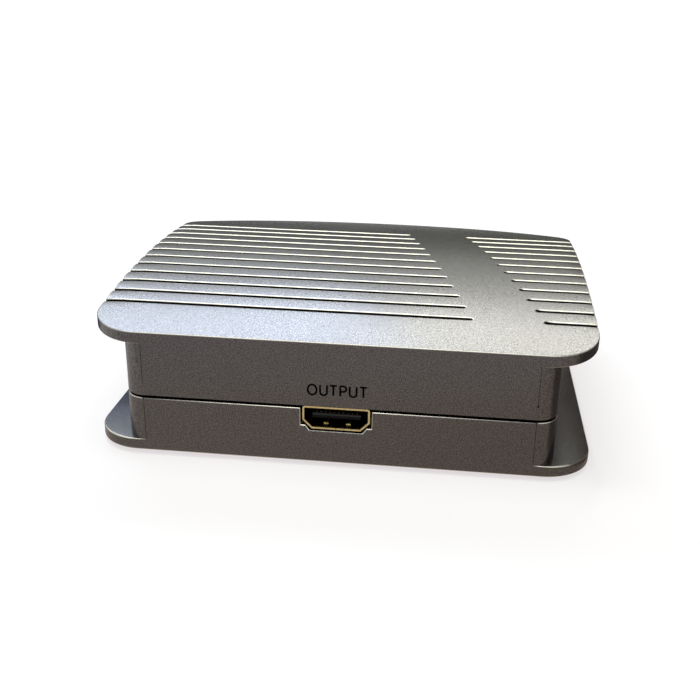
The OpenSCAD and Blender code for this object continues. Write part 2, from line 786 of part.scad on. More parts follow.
module controller_chip() color("#222222") on_board(dual_place_shares)
    translate([0, 0, lead_t]) chip(dual_w, dual_l, dual_h);

module controller_chip_leads() color("silver") on_board(dual_place_shares)
    for (turn = [0, 180]) rotate([0, 0, turn])
        lead_row(dual_lead_n, dual_pitch, dual_w / 2, lead_w, dual_h / 2);

module voltage_regulator() color("#222222") on_board(regulator_place_shares)
    translate([0, 0, lead_t]) chip(regulator_l, regulator_w, regulator_h);

module regulator_leads() color("silver") on_board(regulator_place_shares) {
    lead_row(regulator_lead_n, regulator_pitch, regulator_l / 2, regulator_lead_w, regulator_h / 2);
    rotate([0, 0, 180]) lead_row(1, regulator_pitch, regulator_l / 2, regulator_w / 2, regulator_h / 2);
}

module capacitor_cans() color("silver") for (place = can_place_shares) on_board(place)
    translate([0, 0, can_base_h]) {
        cylinder(h = can_h, r = can_r);
        translate([0, 0, can_h]) cylinder(h = can_bead, r1 = can_r, r2 = can_r - can_bead);
    }

module capacitor_bases() color("#181818") for (place = can_place_shares) on_board(place)
    chip(can_base_w, can_base_w, can_base_h);

module power_inductor() color("#333333") on_board(inductor_place_shares) difference() {
    chip(inductor_w, inductor_w, inductor_h);
    at_sides(inductor_w / 2) translate([0, 0, inductor_h / 2])
        cube([inductor_pad_w, inductor_w / 2, 2 * inductor_h], center = true);
}

module crystal() color("silver") on_board(crystal_place_shares) {
    r = crystal_l / 2;
    half = crystal_w / 2 - r;
    at_sides(half) cylinder(h = crystal_h, r = r - crystal_rim);
    translate([0, 0, crystal_h / 2]) cube([2 * half, 2 * (r - crystal_rim), crystal_h], center = true);
    at_sides(half) cylinder(h = crystal_rim, r = r);
    translate([0, 0, crystal_rim / 2]) cube([2 * half, 2 * r, crystal_rim], center = true);
}

module surge_arrays() color("#222222") at_all_ports() for (side = [-1, 1])
    translate([side * (led_w + array_w), shell_l + 3 * tail_l, -port_h / 2]) chip(array_w, array_l, array_h);

module chip_resistors() color("#303030") for (place = resistor_row_shares) on_board(place)
    for (i = [0 : resistors_in_row - 1]) translate([i * resistor_step, 0, 0])
        chip(resistor_l, resistor_w, resistor_h);

module supply_fuse() color("darkolivegreen") on_board(fuse_place_shares) chip(fuse_w, fuse_l, fuse_h);

top_cover();
bottom_cover();
rubber_feet();
case_screws();
circuit_board();
board_screws();
output_shell();
output_insulator();
output_contacts();
input_shell(0);  // input_shell_1
input_insulator(0);  // input_insulator_1
input_contacts(0);  // input_contacts_1
input_shell(1);  // input_shell_2
input_insulator(1);  // input_insulator_2
input_contacts(1);  // input_contacts_2
input_shell(2);  // input_shell_3
input_insulator(2);  // input_insulator_3
input_contacts(2);  // input_contacts_3
supply_socket_body();
supply_centre_pin();
supply_contact_leaf();
select_button();
tactile_switch();
tactile_plunger();
light_guides();
status_leds();
receiver_window();
infrared_receiver();
receiver_leads();
switch_chip();
switch_chip_leads();
controller_chip();
controller_chip_leads();
voltage_regulator();
regulator_leads();
capacitor_cans();
capacitor_bases();
power_inductor();
crystal();
surge_arrays();
chip_resistors();
supply_fuse();
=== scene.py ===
# Looks of a desktop HDMI switch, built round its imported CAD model.
# Lengths are in millimetres in this file and become metres where a mesh is made.
import json
import math

import bmesh
import bpy
from mathutils import Matrix, Vector


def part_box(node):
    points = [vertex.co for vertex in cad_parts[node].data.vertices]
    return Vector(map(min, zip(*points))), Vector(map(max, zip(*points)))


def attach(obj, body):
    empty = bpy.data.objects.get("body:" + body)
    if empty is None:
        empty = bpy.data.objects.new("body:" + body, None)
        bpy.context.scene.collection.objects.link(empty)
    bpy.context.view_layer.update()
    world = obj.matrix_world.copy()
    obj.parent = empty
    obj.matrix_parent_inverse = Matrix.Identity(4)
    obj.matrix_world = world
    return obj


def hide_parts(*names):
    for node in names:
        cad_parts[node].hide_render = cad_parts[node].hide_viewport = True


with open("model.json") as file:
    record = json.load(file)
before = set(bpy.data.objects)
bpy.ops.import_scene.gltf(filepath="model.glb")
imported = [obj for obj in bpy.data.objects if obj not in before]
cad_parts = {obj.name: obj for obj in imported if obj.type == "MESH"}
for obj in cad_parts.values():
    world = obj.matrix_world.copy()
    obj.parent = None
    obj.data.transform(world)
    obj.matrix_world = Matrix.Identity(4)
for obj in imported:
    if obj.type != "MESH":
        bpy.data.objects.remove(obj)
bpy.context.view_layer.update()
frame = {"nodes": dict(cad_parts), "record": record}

MM = 0.001

# Sizes of the case, as in the CAD model
TOP_W = 112.4
BASE_W = 113.4
NEAR_Y = -51.25
FAR_Y = 51.25
INPUT_Y = 40.75
FAR_BOW = 16
NEAR_R = 11
FAR_R = 7
PLATE_T = 2.65
FLOOR_Z = 1.2
PLATE_Z = FLOOR_Z + PLATE_T
RIM_Z = 14.25
LID_Z = 14.9
FACE_Z = 29.94
CROWN_RISE = 4.26
CROWN_R = (FAR_Y ** 2 + CROWN_RISE ** 2) / (2 * CROWN_RISE)
CROWN_Z = FACE_Z + CROWN_RISE - CROWN_R
BOW_R = ((TOP_W / 2) ** 2 + FAR_BOW ** 2) / (2 * FAR_BOW)
BOW_Y = FAR_Y - BOW_R
CORE_W = 96.6
CORE_NEAR_R = 5
CORE_FAR_R = 10
WALL_T = 2.2
LIP_T = 0.9
LIP_H = 1.9
LIP_GAP = 0.15
PORT_Z = 12.01
GUIDE_Z = 19.9
PARTS_Z = 9.3
BUTTON_Z = 11.3
SIDE_X = 32.9
INPUT_XS = [-21, 0, 21]
BOSS_X = 41.2
BOSS_YS = [-42.75, 32.25]
FOOT_R = 5.65
FOOT_DEPTH = 0.8
BUTTON_HOLE_R = 2.4
GUIDE_HOLE = 2.12
WINDOW_HOLE = (5.72, 4.72)
SUPPLY_HOLE = (9.6, 11.6)
SUPPLY_Y = 10.75
SUPPLY_Z = PARTS_Z + 5.5

# Grooves of the top plate
GROOVE_N = 12
GROOVE_Y0 = NEAR_Y + 14.44
GROOVE_PITCH = 5.92
BAND_X = 36.6
BAND_LEAN = 17.9
BAND_HALF = 7.8
GROOVE_END = 0.7
# Cross-section of a groove from its middle outwards: distance and depth
GROOVE_STEPS = [(0, 0.75), (0.3, 0.75), (0.42, 0.72), (0.5, 0.62), (0.53, 0.45), (0.56, 0.27), (0.58, 0.2),
                (0.62, 0.13), (0.67, 0.075), (0.73, 0.03), (0.79, 0.008), (0.86, 0)]
GROOVE_REACH = GROOVE_STEPS[-1][0]

# Depths of the further rows of points on a land, counted from the groove's middle
LAND_ROWS = [1.3, 2.05, GROOVE_PITCH / 2]
# How much lower a land lies at its edges than in its middle, and the width over which that sets in
LAND_CROWN = 0.045
LAND_CROWN_W = 3
# How far from the plate's sides the ends of the lands are rounded, and by how much on the left and right
LAND_END = 2
LAND_ROUND_L = 0.4
LAND_ROUND_R = 0.15
# How far the shade at the start of the near grooves right of the band reaches
START_SHADE = 1.1
# Depth in a groove at which shade sets in at an unlit rim, how much deeper at a lit one, and how that grows
SHADE_DEPTH = 0.006
LIT_DEPTH = 0.05
LIT_GROWTH = 0.09
# Depth over which the shade sets in at an unlit rim, and how much more at a lit one
SHADE_FADE = 0.03
LIT_FADE = 0.08
# How much painted highlight the top plate's near edge gets, as a share of that on the other rims
TOP_EDGE_HIGHLIGHT = 0.35

# Rounding of the edges
EDGE_R = 0.3
CORE_EDGE = 0.18
SEAM_EDGE = 0.24
# Width beside the straight near edge over which the plates' edge rounding sets in
FADE_W = 5
# Depth from which the seam between the halves is in full shade
SEAM_SHADE = 0.3
# Turn at an edge that counts as fully rounded, in radians
EDGE_TURN = 0.25
# Faces wider than this are flats and not part of a rounded edge
RIM_WIDTH = 0.3

# Fine mould lines down the near face, beside its corners
LINE_X = 43.5
LINE_W = 0.12
LINE_DEPTH = 0.1
# Small pit at the lower end of the right-hand line
PIT_Z = 18.1
PIT_R = 0.24
PIT_DEPTH = 0.4
# Window edge under the output socket, left without painted highlight: half its width, and its lowest and
# highest z
SILL_X = 5.9
SILL_LOW = PORT_Z - 3.7
SILL_HIGH = PORT_Z - 2.8

# How far cutters stand out of what they cut
OVER = 1
# Points closer together than this are one
MERGE = 0.002


def clamp(value):
    return min(1, max(0, value))


def mesh_object(name, verts, faces):
    """A new object from millimetre points."""
    mesh = bpy.data.meshes.new(name)
    mesh.from_pydata([(x * MM, y * MM, z * MM) for x, y, z in verts], [], faces)
    obj = bpy.data.objects.new(name, mesh)
    bpy.context.scene.collection.objects.link(obj)
    tidy(obj)
    return obj


def tidy(obj, smooth_angle=50):
    """Merges doubled points, turns faces outwards and shades edges smooth up to an angle."""
    bm = bmesh.new()
    bm.from_mesh(obj.data)
    bmesh.ops.remove_doubles(bm, verts=bm.verts, dist=MERGE * MM)
    bmesh.ops.dissolve_degenerate(bm, edges=bm.edges, dist=0.001 * MM)
    bmesh.ops.recalc_face_normals(bm, faces=bm.faces)
    bm.to_mesh(obj.data)
    bm.free()
    for polygon in obj.data.polygons:
        polygon.use_smooth = True
    obj.data.set_sharp_from_angle(angle=math.radians(smooth_angle))


def weigh_normals(obj):
    """Large flat faces keep flat shading beside their rounded edges."""
    modifier = obj.modifiers.new("normals", "WEIGHTED_NORMAL")
    modifier.keep_sharp = True
    modifier.weight = 60


def crown_z(y, down=0):
    return CROWN_Z + math.sqrt((CROWN_R - down) ** 2 - y * y)


def groove_at(y):
    """Number of the groove nearest to a depth, from the near edge."""
    return round((y - GROOVE_Y0) / GROOVE_PITCH)


def band_x(place):
    """Middle of the smooth band beside a groove, by its number."""
    return BAND_X - BAND_LEAN * place / (GROOVE_N - 1)


def band_middle(y):
    """Middle of the smooth band at a depth; it steps with the grooves and slides between them."""
    place = (y - GROOVE_Y0) / GROOVE_PITCH
    nearest = round(place)
    offset = place - nearest
    # A little past the groove's rim
    reach = GROOVE_REACH / GROOVE_PITCH + 0.02
    if abs(offset) <= reach:
        return band_x(nearest)
    slide = (abs(offset) - reach) / (1 - 2 * reach)
    return band_x(nearest + math.copysign(slide, offset))


def groove_drop(x, y):
    """How far the grooves sink the top at a point."""
    i = groove_at(y)
    if i < 0 or i >= GROOVE_N:
        return 0
    across = abs(y - GROOVE_Y0 - i * GROOVE_PITCH)
    if across >= GROOVE_REACH:
        return 0
    beside = max(0, BAND_HALF + GROOVE_END - abs(x - band_x(i)))
    d = math.hypot(beside, across)
    for (d0, z0), (d1, z1) in zip(GROOVE_STEPS, GROOVE_STEPS[1:]):
        if d <= d1:
            return z0 + (z1 - z0) * (d - d0) / (d1 - d0)
    return 0


def land_drop(x, y):
    """The lands between grooves are slightly convex with rounded outer ends; the band is neither."""
    place = (y - GROOVE_Y0) / GROOVE_PITCH
    nearest = min(GROOVE_N - 1, max(0, groove_at(y)))
    share = clamp((abs(x - band_middle(y)) - BAND_HALF) / LAND_CROWN_W)
    away = max(0, 1 - 2 * abs(place - nearest))
    end = max(0, 1 - (TOP_W / 2 - abs(x)) / LAND_END)
    rounding = LAND_ROUND_L if x < 0 else LAND_ROUND_R
    return (LAND_CROWN * share + rounding * end * end) * away * away


def top_z(x, y):
    """Height of the finished top."""
    return crown_z(y) - groove_drop(x, y) - land_drop(x, y)


def groove_rows(low, high):
    """Depths at which the grooved part has its rows of points."""
    rows = set()
    for i in range(GROOVE_N):
        middle = GROOVE_Y0 + i * GROOVE_PITCH
        for d in [step[0] for step in GROOVE_STEPS] + LAND_ROWS:
            rows.add(round(middle - d, 4))
            rows.add(round(middle + d, 4))
    gap = 0.3
    return sorted(y for y in rows if low + gap < y < high - gap)


def plain_rows(low, high, count):
    return [low + (high - low) * (i + 1) / (count + 1) for i in range(count)]


def spaced(start, end, count):
    """Evenly spaced places from start up to, but without, end."""
    return [start + (end - start) * i / count for i in range(count)]


def groove_columns(x_end, y):
    """Places across a row that runs from -x_end to x_end, close together where the grooves end."""
    middle = band_middle(y)
    left = middle - BAND_HALF - GROOVE_END
    right = min(middle + BAND_HALF + GROOVE_END, x_end - 3)
    # From just inside a groove, past its end, onto the band
    offsets = [-0.5, 0] + [step[0] for step in GROOVE_STEPS[1:]] + [1.25]
    lefts = [left + d for d in offsets]
    rights = [right - d for d in reversed(offsets)]
    places = spaced(-x_end, lefts[0], 22) + lefts
    places += spaced(lefts[-1], rights[0], 5)[1:] + rights
    places += spaced(rights[-1], x_end, 7)[1:] + [x_end]
    return places


def plain_columns(x_end, _):
    """Evenly spaced places across a row, the same at every depth."""
    return [x_end * i / 14 for i in range(-14, 15)]


def plate_plan(width, inset, side_rows, columns):
    """Rows of plan points of a plate whose outline is pulled in, and the outward normals of the row ends."""
    near_x = width / 2 - NEAR_R
    near_y = NEAR_Y + NEAR_R
    far_x = width / 2 - FAR_R
    far_y = BOW_Y + math.sqrt((BOW_R - FAR_R) ** 2 - far_x ** 2)
    tangent = math.atan2(far_y - BOW_Y, far_x)
    rows = []
    normals = []
    corner_steps = 12
    for k in range(corner_steps):
        turn = math.radians(90 - 90 * k / corner_steps)
        normal = (math.cos(turn), -math.sin(turn))
        y = near_y + (NEAR_R - inset) * normal[1]
        x = near_x + (NEAR_R - inset) * normal[0]
        rows.append([(c, y) for c in columns(x, y)])
        normals.append(normal)
    for y in [near_y] + side_rows(near_y, far_y) + [far_y]:
        rows.append([(c, y) for c in columns(width / 2 - inset, y)])
        normals.append((1, 0))
    bow_steps = 14
    bow_r = BOW_R - inset
    for k in range(1, bow_steps + 1):
        share = k / bow_steps
        turn = tangent * share
        normal = (math.cos(turn), math.sin(turn))
        x_end = far_x + (FAR_R - inset) * normal[0]
        y_end = far_y + (FAR_R - inset) * normal[1]
        last_x = bow_r * math.cos(tangent)
        last_y = bow_r * math.sin(tangent)
        row = []
        for x in columns(x_end, y_end):
            rise = math.sqrt(bow_r ** 2 - (x / x_end * last_x) ** 2) - last_y
            row.append((x, y_end + share * rise))
        rows.append(row)
        normals.append(normal)
    return rows, normals


def plate(name, width, side_rows, columns, top, low, top_r, low_r):
    """A plate with rounded edges. top and low give heights; top_r and low_r give the edge radius there."""
    rows, ends = plate_plan(width, EDGE_R, side_rows, columns)
    n_rows = len(rows)
    n_cols = len(rows[0])
    rim = [(0, c) for c in range(n_cols)]
    rim += [(r, n_cols - 1) for r in range(1, n_rows)]
    rim += [(n_rows - 1, c) for c in range(n_cols - 2, -1, -1)]
    rim += [(r, 0) for r in range(n_rows - 2, 0, -1)]
    outward = {}
    for r, c in rim:
        if r == 0:
            outward[r, c] = (0, -1)
        elif r == n_rows - 1:
            x, y = rows[r][c]
            away = math.hypot(x, y - BOW_Y)
            outward[r, c] = (x / away, (y - BOW_Y) / away)
        else:
            side = 1 if c else -1
            outward[r, c] = (side * ends[r][0], ends[r][1])
    verts = []
    faces = []

    def edge_start(r, c, radius):
        """Where the rounded edge starts, which is the outline itself where the radius is zero."""
        x, y = rows[r][c]
        nx, ny = outward[r, c]
        grow = EDGE_R - radius(x, y)
        return x + nx * grow, y + ny * grow

    def sheet(height, radius):
        """One side of the plate; its rim moves out to where that side's edge radius starts."""
        first = len(verts)
        for r, row in enumerate(rows):
            for c, (x, y) in enumerate(row):
                if (r, c) in outward:
                    x, y = edge_start(r, c, radius)
                z = height(x, y)
                verts.append((x, y, z))
        for r in range(n_rows - 1):
            for c in range(n_cols - 1):
                a = first + r * n_cols + c
                faces.append((a, a + 1, a + n_cols + 1, a + n_cols))
        return [first + r * n_cols + c for r, c in rim]

    def ring(height, radius, turn, sign):
        """A loop round the rim, part of the way round its rounded edge."""
        first = len(verts)
        for r, c in rim:
            edge = radius(*rows[r][c])
            x, y = edge_start(r, c, radius)
            nx, ny = outward[r, c]
            out = edge * math.sin(turn)
            verts.append((x + nx * out, y + ny * out, height(x, y) - sign * edge * (1 - math.cos(turn))))
        return list(range(first, first + len(rim)))

    steps = [math.radians(90 * k / 4) for k in range(1, 5)]
    loops = [sheet(top, top_r)]
    loops += [ring(top, top_r, turn, 1) for turn in steps]
    loops += [ring(low, low_r, turn, -1) for turn in reversed(steps)]
    loops.append(sheet(low, low_r))
    for upper, lower in zip(loops, loops[1:]):
        for i in range(len(rim)):
            j = (i + 1) % len(rim)
            faces.append((upper[i], upper[j], lower[j], lower[i]))
    return mesh_object(name, verts, faces)


def near_fade(x, y):
    """0 along the straight near edge, where plate and core share one face, and 1 from the corners on."""
    if y > NEAR_Y + NEAR_R:
        return 1
    return clamp((abs(x) - (CORE_W / 2 - CORE_NEAR_R)) / FADE_W)


def core_plan(inset):
    """Plan points round the core's outline, pulled in."""
    half = CORE_W / 2 - inset
    near = NEAR_Y + inset
    far = INPUT_Y - inset
    near_r = CORE_NEAR_R - inset
    far_r = CORE_FAR_R - inset
    near_steps = 12
    side_steps = 14
    far_steps = 18
    right = []
    for k in range(near_steps + 1):
        turn = math.radians(-90 + 90 * k / near_steps)
        right.append((half - near_r + near_r * math.cos(turn), near + near_r + near_r * math.sin(turn)))
    y0 = NEAR_Y + CORE_NEAR_R
    y1 = INPUT_Y - CORE_FAR_R
    for k in range(1, side_steps):
        right.append((half, y0 + (y1 - y0) * k / side_steps))
    for k in range(far_steps + 1):
        turn = math.radians(90 * k / far_steps)
        right.append((half - far_r + far_r * math.cos(turn), far - far_r + far_r * math.sin(turn)))
    left = [(-x, y) for x, y in reversed(right)]
    return right + left


def core_loop(inset, z):
    """The core's outline, pulled in, at a height."""
    return [(x, y, z) for x, y in core_plan(inset)]


def core_inset(x, y):
    """How far inside the core's outline a point lies, told for points near the outline."""
    r = CORE_NEAR_R if y < 0 else CORE_FAR_R
    across = abs(x) - (CORE_W / 2 - r)
    along = max(NEAR_Y + r - y, y - (INPUT_Y - r))
    return r - math.hypot(max(0, across), max(0, along))


def loft(name, loops):
    """A closed ring of material through loops of equal length; the last loop meets the first."""
    verts = [point for loop in loops for point in loop]
    n = len(loops[0])
    faces = []
    for k in range(len(loops)):
        base = k * n
        after = (k + 1) % len(loops) * n
        for i in range(n):
            j = (i + 1) % n
            faces.append((base + i, base + j, after + j, after + i))
    return mesh_object(name, verts, faces)


def prism(points, start, end, axis):
    """A cutter: a closed outline swept along an axis. Points are (y, z), (x, z) or (x, y) along x, y or z."""
    n = len(points)
    verts = []
    for s in (start, end):
        for a, b in points:
            verts.append({"x": (s, a, b), "y": (a, s, b), "z": (a, b, s)}[axis])
    faces = [tuple(range(n)), tuple(range(2 * n - 1, n - 1, -1))]
    for i in range(n):
        j = (i + 1) % n
        faces.append((i, j, n + j, n + i))
    return mesh_object("cutter", verts, faces)


def rectangle(x, z, w, h):
    return [(x - w / 2, z - h / 2), (x + w / 2, z - h / 2), (x + w / 2, z + h / 2), (x - w / 2, z + h / 2)]


def disc(x, z, r, n=40):
    turns = [2 * math.pi * k / n for k in range(n)]
    return [(x + r * math.cos(turn), z + r * math.sin(turn)) for turn in turns]


def apply_modifiers(obj):
    shown = obj.evaluated_get(bpy.context.evaluated_depsgraph_get())
    mesh = bpy.data.meshes.new_from_object(shown)
    obj.modifiers.clear()
    obj.data = mesh


def cut(obj, cutters):
    for cutter in cutters:
        modifier = obj.modifiers.new("cut", "BOOLEAN")
        modifier.operation = "DIFFERENCE"
        modifier.solver = "EXACT"
        modifier.object = cutter
    apply_modifiers(obj)
    for cutter in cutters:
        bpy.data.objects.remove(cutter, do_unlink=True)


def round_edges(obj, keep_sharp, radius=CORE_EDGE):
    """Rounds the sharp edges, but for those whose middle keep_sharp names."""
    bm = bmesh.new()
    bm.from_mesh(obj.data)
    bmesh.ops.remove_doubles(bm, verts=bm.verts, dist=MERGE * MM)
    edges = []
    for edge in bm.edges:
        if len(edge.link_faces) != 2 or edge.calc_face_angle(0) < math.radians(35):
            continue
        middle = (edge.verts[0].co + edge.verts[1].co) / 2 / MM
        if not keep_sharp(middle):
            edges.append(edge)
    bmesh.ops.bevel(bm, geom=edges, offset=radius * MM, segments=3, profile=0.5, affect="EDGES",
                    clamp_overlap=True)
    bm.to_mesh(obj.data)
    bm.free()
    tidy(obj, 40)


# Lower part of a socket's window, round the socket's middle
NOTCH = [(-7.92, 6), (-7.92, -1.88), (-6.77, -1.88), (-5.89, -3.13),
         (5.89, -3.13), (6.77, -1.88), (7.92, -1.88), (7.92, 6)]


def notch(x):
    return [(x + a, PORT_Z + b) for a, b in NOTCH]


def far_hole(points):
    """A cutter through the wall with the inputs."""
    return prism(points, INPUT_Y - WALL_T - OVER, INPUT_Y + OVER, "y")


def supply_hole():
    """The cutter through the right wall for the supply socket."""
    outline = rectangle(SUPPLY_Y, SUPPLY_Z, *SUPPLY_HOLE)
    return prism(outline, CORE_W / 2 - WALL_T - OVER, CORE_W / 2 + OVER, "x")


def mould_lines(low, high):
    """The cutters for the two lines, from one height to another."""
    outlines = [rectangle(side * LINE_X, (low + high) / 2, LINE_W, high - low) for side in (-1, 1)]
    return [prism(outline, NEAR_Y - OVER, NEAR_Y + LINE_DEPTH, "y") for outline in outlines]


def on_mould_line(p):
    return p.y < NEAR_Y + PIT_DEPTH + 0.02 and abs(abs(p.x) - LINE_X) < PIT_R + 0.02


def make_lower_core():
    lip = WALL_T - LIP_T
    wall = loft("lower_case", [
        core_loop(0, PLATE_Z), core_loop(0, RIM_Z), core_loop(SEAM_SHADE, RIM_Z), core_loop(lip, RIM_Z),
        core_loop(lip, RIM_Z + LIP_H), core_loop(WALL_T, RIM_Z + LIP_H), core_loop(WALL_T, PLATE_Z)])
    cutters = [prism(notch(0), NEAR_Y - OVER, NEAR_Y + WALL_T + OVER, "y"), supply_hole()]
    cutters += [far_hole(notch(x)) for x in INPUT_XS]
    cutters.append(far_hole(disc(-SIDE_X, BUTTON_Z, BUTTON_HOLE_R)))
    cutters += mould_lines(PLATE_Z - OVER, RIM_Z + OVER)
    cut(wall, cutters)
    round_edges(wall, lambda p: p.z < PLATE_Z + 0.01 or on_mould_line(p), SEAM_EDGE)
    return wall


def under_plate(inset):
    """The core's outline, pulled in, as it meets the top plate: flush in the near face, else sunk in it."""
    flush_x = CORE_W / 2 - CORE_NEAR_R + 0.5
    flush_y = NEAR_Y + 0.5
    loop = []
    for x, y in core_plan(inset):
        sink = 0 if y < flush_y and abs(x) < flush_x else 0.3
        loop.append((x, y, crown_z(max(y, NEAR_Y), PLATE_T) + sink))
    return loop


def make_upper_core():
    room_z = RIM_Z + LIP_H + LIP_GAP
    room = WALL_T - LIP_T - LIP_GAP
    wall = loft("upper_case", [
        core_loop(0, LID_Z), under_plate(0), under_plate(WALL_T),
        core_loop(WALL_T, room_z), core_loop(room, room_z), core_loop(room, LID_Z)])
    cutters = [supply_hole()]
    cutters += [far_hole(rectangle(x, GUIDE_Z, GUIDE_HOLE, GUIDE_HOLE)) for x in INPUT_XS]
    cutters.append(far_hole(rectangle(SIDE_X, GUIDE_Z, *WINDOW_HOLE)))
    cutters += mould_lines(PIT_Z, 40)
    cutters.append(prism(disc(LINE_X, PIT_Z, PIT_R, 16), NEAR_Y - OVER, NEAR_Y + PIT_DEPTH, "y"))
    cut(wall, cutters)
    round_edges(wall, lambda p: p.z > 26.5 or on_mould_line(p))
    return wall


def groove_marks(x, y):
    """How much painted highlight the rim of a groove gets at a point, and how deep in painted shade the
    groove is there.
    """
    drop = groove_drop(x, y)
    if drop <= 0:
        return 1, 0
    i = groove_at(y)
    far = i / (GROOVE_N - 1)
    middle = band_x(i)
    right = x > middle
    reach = BAND_HALF + GROOVE_END + (START_SHADE * (1 - far) if right else 0)
    along = max(0, reach - abs(x - middle)) * (-1 if right else 1)
    across = y - GROOVE_Y0 - i * GROOVE_PITCH
    facing = (along + across) / max(math.hypot(along, across), 0.01)
    lit = clamp(0.5 + 1.5 * facing)
    growth = 0.5 + far if right else far
    start = SHADE_DEPTH + (LIT_DEPTH + LIT_GROWTH * growth) * lit
    return lit, clamp((drop - start) / (SHADE_FADE + LIT_FADE * lit))


def shade_marks(p):
    """How much painted highlight a rim may get at a point in millimetres, and how deep in painted shade the
    point is.
    """
    x, y, z = p
    lit, in_groove = groove_marks(x, y) if z > FACE_Z - 1.5 and z > crown_z(y) - 1 else (1, 0)
    inset = core_inset(x, y)
    in_seam = (inset - SEAM_EDGE) / (SEAM_SHADE - SEAM_EDGE) if RIM_Z - 0.01 < z < LID_Z else 0
    in_line = on_mould_line(p) and LINE_DEPTH / 2 < inset and z < FACE_Z - 1
    if y < GROOVE_Y0 - 3 and z > crown_z(y) - 2 * EDGE_R:
        lit *= TOP_EDGE_HIGHLIGHT
    elif on_mould_line(p):
        lit = 0
    if abs(x) < SILL_X and SILL_LOW < z < SILL_HIGH:
        lit = 0
    return lit, clamp(max(in_groove, in_seam, 1 if in_line else 0))


def edge_turns(mesh):
    """How rounded each point's edge is, from 0 to 1; points on flats have 0."""
    bm = bmesh.new()
    bm.from_mesh(mesh)
    wide = {}
    for face in bm.faces:
        longest = max(edge.calc_length() for edge in face.edges)
        wide[face.index] = face.calc_area() / max(longest, 1e-9) > RIM_WIDTH * MM
    level = [edge for edge in bm.edges if len(edge.link_faces) == 2 and edge.calc_face_angle(1) < 0.01]
    for _ in range(3):
        for edge in level:
            one, other = (face.index for face in edge.link_faces)
            wide[one] = wide[other] = wide[one] or wide[other]
    turns = []
    for vert in bm.verts:
        turn = max((edge.calc_face_angle_signed(0) for edge in vert.link_edges), default=0)
        beside_flat = any(wide[face.index] for face in vert.link_faces)
        turns.append(0 if beside_flat else clamp(turn / EDGE_TURN))
    bm.free()
    return turns


def mark_edges(obj):
    """Notes on each point how much painted highlight its edge gets, and how deep in painted shade the point
    is.
    """
    mesh = obj.data
    turns = edge_turns(mesh)
    rim = mesh.attributes.new("rim", "FLOAT", "POINT")
    deep = mesh.attributes.new("deep", "FLOAT", "POINT")
    for i, vert in enumerate(mesh.vertices):
        lit, shade = shade_marks(vert.co / MM)
        rim.data[i].value = turns[i] * lit
        deep.data[i].value = shade


def join(name, parts):
    """One object from several, with the sharp edges kept."""
    bm = bmesh.new()
    for part in parts:
        bm.from_mesh(part.data)
    mesh = bpy.data.meshes.new(name)
    bm.to_mesh(mesh)
    bm.free()
    for part in parts:
        bpy.data.objects.remove(part, do_unlink=True)
    obj = bpy.data.objects.new(name, mesh)
    bpy.context.scene.collection.objects.link(obj)
    for polygon in mesh.polygons:
        polygon.use_smooth = True
    mesh.set_sharp_from_angle(angle=math.radians(45))
    return obj


def make_top():
    top = plate("top_plate", TOP_W, groove_rows, groove_columns, top_z, lambda x, y: crown_z(y, PLATE_T),
                lambda x, y: EDGE_R, lambda x, y: EDGE_R * near_fade(x, y))
    return join("top_shell", [top, make_upper_core()])


def make_base():
    base = plate("base_plate", BASE_W, lambda low, high: plain_rows(low, high, 14), plain_columns,
                 lambda x, y: PLATE_Z, lambda x, y: FLOOR_Z,
                 lambda x, y: EDGE_R * near_fade(x, y), lambda x, y: EDGE_R)
    cut(base, [prism(disc(side * BOSS_X, y, FOOT_R, 64), FLOOR_Z - OVER, FLOOR_Z + FOOT_DEPTH, "z")
               for y in BOSS_YS for side in (-1, 1)])
    tidy(base)
    return join("base_shell", [base, make_lower_core()])


# Lettering: flat strokes that stand a hair proud of a face
STROKE = 0.43
PROUD = 0.02


def stroke(bm, points, place, closed=False):
    """A flat ribbon along points; place turns flat points and a height into a point in the row frame."""
    n = len(points)
    sides = []
    for i, (x, z) in enumerate(points):
        ax, az = points[(i - 1) % n] if closed or i else points[i]
        bx, bz = points[(i + 1) % n] if closed or i < n - 1 else points[i]
        dx, dz = bx - ax, bz - az
        away = math.hypot(dx, dz)
        nx, nz = -dz / away * STROKE / 2, dx / away * STROKE / 2
        sides.append([bm.verts.new(place(x + s * nx, z + s * nz, h))
                      for s, h in ((1, -PROUD), (1, PROUD), (-1, PROUD), (-1, -PROUD))])
    last = n if closed else n - 1
    for i in range(last):
        a, b = sides[i], sides[(i + 1) % n]
        for k in range(4):
            bm.faces.new((a[k], a[(k + 1) % 4], b[(k + 1) % 4], b[k]))
    if not closed:
        bm.faces.new(sides[0])
        bm.faces.new(list(reversed(sides[-1])))


def arc(cx, cz, rx, rz, start, end, n=20):
    turns = [math.radians(start + (end - start) * k / n) for k in range(n + 1)]
    return [(cx + rx * math.cos(t), cz + rz * math.sin(t)) for t in turns]


def letter(kind, w, h):
    """Strokes of one letter in a box w by h, as (points, closed)."""
    if kind == "O":
        return [(arc(w / 2, h / 2, w / 2, h / 2, 0, 360, 36)[:-1], True)]
    if kind == "U":
        r = w / 2
        return [([(0, h)] + arc(r, r, r, r, 180, 360) + [(w, h)], False)]
    if kind == "T":
        return [([(0, h), (w, h)], False), ([(w / 2, h), (w / 2, 0)], False)]
    if kind == "P":
        r = h * 0.27
        bowl = [(0, h)] + arc(w - r, h - r, r, r, 90, -90, 14) + [(0, h - 2 * r)]
        return [([(0, 0), (0, h)], False), (bowl, False)]
    if kind == "1":
        return [([(w * 0.15, h * 0.78), (w * 0.55, h), (w * 0.55, 0)], False)]
    if kind == "2":
        r = h * 0.27
        return [(arc(w / 2, h - r, w / 2, r, 170, -30, 14) + [(0, 0), (w, 0)], False)]
    if kind == "3":
        r = h * 0.26
        top = arc(w * 0.45, h - r, w * 0.45, r, 150, -90, 14)
        low = arc(w * 0.45, h * 0.25, w * 0.52, h * 0.25, 90, -150, 16)
        return [(top + low[1:], False)]
    return []


